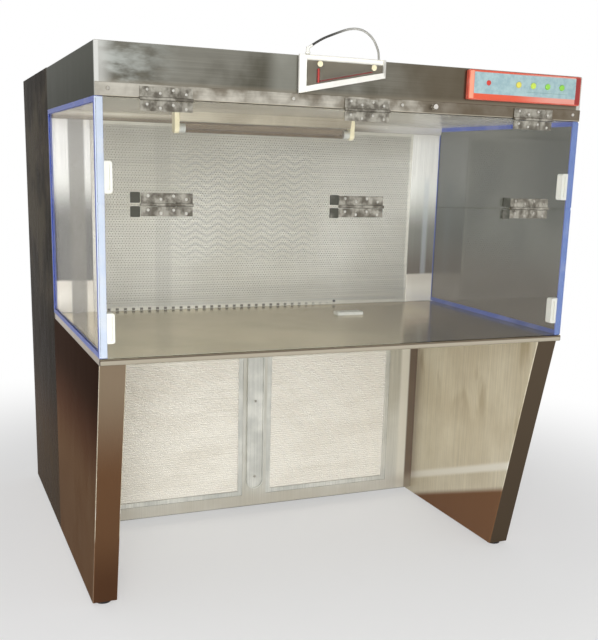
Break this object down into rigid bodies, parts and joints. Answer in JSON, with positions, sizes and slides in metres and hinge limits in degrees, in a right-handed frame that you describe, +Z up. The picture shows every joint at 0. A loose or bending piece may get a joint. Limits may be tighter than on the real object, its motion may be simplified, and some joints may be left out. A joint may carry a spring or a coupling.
{
  "type": "horizontal laminar flow clean bench",
  "caption": "Free-standing clean bench: stainless cabinet with a back filter screen, worktop on raked stands, glass sides, bi-fold glass door, sloping manometer and control strip.",
  "frame": {"origin": "on the floor, under the middle of the bench", "axes": "+Z up, +X to the operator's right, -Y towards the operator"},
  "size_m": [1.4, 1.445, 1.5922],
  "materials": {
    "batten_white": "gloss",
    "black_rubber": "matt",
    "blue_trim": "satin",
    "box_red": "satin",
    "button_green": "satin",
    "button_lime": "satin",
    "button_yellow": "satin",
    "clear_acrylic": "clear",
    "clear_glass": "clear",
    "clear_vinyl": "semi-clear",
    "cream_plastic": "satin",
    "filter_aluminium": "satin",
    "filter_media": "matt",
    "galvanised_steel": "dull galvanised",
    "hinge_steel": "polished",
    "knob_steel": "polished",
    "lamp_quartz": "clear",
    "lamp_red": "gloss",
    "motor_paint": "satin",
    "panel_blue": "satin",
    "perforated_steel": "perforated, satin",
    "red_fluid": "clear liquid",
    "stainless_steel": "brushed",
    "white_plastic": "satin"
  },
  "bodies": {
    "cabinet": {"base_pan": "stainless_steel", "blower_deck": "galvanised_steel", "blower_motor": "motor_paint", "blower_scroll": "galvanised_steel", "cabinet_casing": "stainless_steel", "cable_gland": "black_rubber", "canopy_shell": "stainless_steel", "canopy_soffit": "stainless_steel", "control_box": "box_red", "control_face_plate": "panel_blue", "diffuser_screen": "perforated_steel", "edge_trim_left": "blue_trim", "edge_trim_right": "blue_trim", "hepa_frame": "filter_aluminium", "hepa_media": "filter_media", "hinge_rail": "stainless_steel", "hold_knob": "knob_steel", "indicator_lamp": "lamp_red", "jamb_left": "stainless_steel", "jamb_right": "stainless_steel", "knee_wall": "stainless_steel", "lamp_batten": "batten_white", "lamp_tube": "lamp_quartz", "lampholders": "white_plastic", "levelling_feet": "black_rubber", "magnetic_catches": "white_plastic", "manometer_body": "clear_acrylic", "manometer_fluid": "red_fluid", "manometer_mounts": "cream_plastic", "mullion_channel": "galvanised_steel", "prefilter_frame_left": "filter_aluminium", "prefilter_frame_right": "filter_aluminium", "prefilter_media_left": "filter_media", "prefilter_media_right": "filter_media", "pressure_tube": "clear_vinyl", "rail_hinge_leaves": "hinge_steel", "rear_panel_lower": "stainless_steel", "rear_panel_upper": "stainless_steel", "service_plate": "stainless_steel", "side_glass_left": "clear_glass", "side_glass_right": "clear_glass", "stand_left": "stainless_steel", "stand_right": "stainless_steel", "top_hinge_pins": "hinge_steel", "tube_fittings": "white_plastic", "worktop": "stainless_steel"},
    "impeller": {"blower_impeller": "galvanised_steel"},
    "upper_door": {"door_glass_upper": "clear_glass", "upper_door_hinge_leaves": "hinge_steel", "fold_hinge_upper_leaves": "hinge_steel", "fold_hinge_pins": "hinge_steel", "fold_bumpers_upper": "black_rubber"},
    "lower_door": {"door_glass_lower": "clear_glass", "fold_hinge_lower_leaves": "hinge_steel", "fold_bumpers_lower": "black_rubber"},
    "button_1": {"push_button_1": "button_yellow"},
    "button_2": {"push_button_2": "button_lime"},
    "button_3": {"push_button_3": "button_green"},
    "button_4": {"push_button_4": "button_green"}
  },
  "joints": [
    {"name": "upper_door_hinge", "type": "hinge", "parent": "cabinet", "child": "upper_door", "pos_m": [0, -0.703, 1.384], "axis": [-1, 0, 0], "range_deg": [0, 120]},
    {"name": "lower_door_hinge", "type": "hinge", "parent": "upper_door", "child": "lower_door", "pos_m": [0, -0.703, 1.135], "axis": [-1, 0, 0], "range_deg": [0, 120]},
    {"name": "blower_spin", "type": "hinge", "parent": "cabinet", "child": "impeller", "pos_m": [0, 0.3895, 0.47], "axis": [1, 0, 0], "continuous": true},
    {"name": "button_1_press", "type": "slide", "parent": "cabinet", "child": "button_1", "axis": [0, 1, 0], "range_m": [0, 0.002], "stiffness_N_per_m": 300, "springref_m": -0.003},
    {"name": "button_2_press", "type": "slide", "parent": "cabinet", "child": "button_2", "axis": [0, 1, 0], "range_m": [0, 0.002], "stiffness_N_per_m": 300, "springref_m": -0.003},
    {"name": "button_3_press", "type": "slide", "parent": "cabinet", "child": "button_3", "axis": [0, 1, 0], "range_m": [0, 0.002], "stiffness_N_per_m": 300, "springref_m": -0.003},
    {"name": "button_4_press", "type": "slide", "parent": "cabinet", "child": "button_4", "axis": [0, 1, 0], "range_m": [0, 0.002], "stiffness_N_per_m": 300, "springref_m": -0.003}
  ]
}
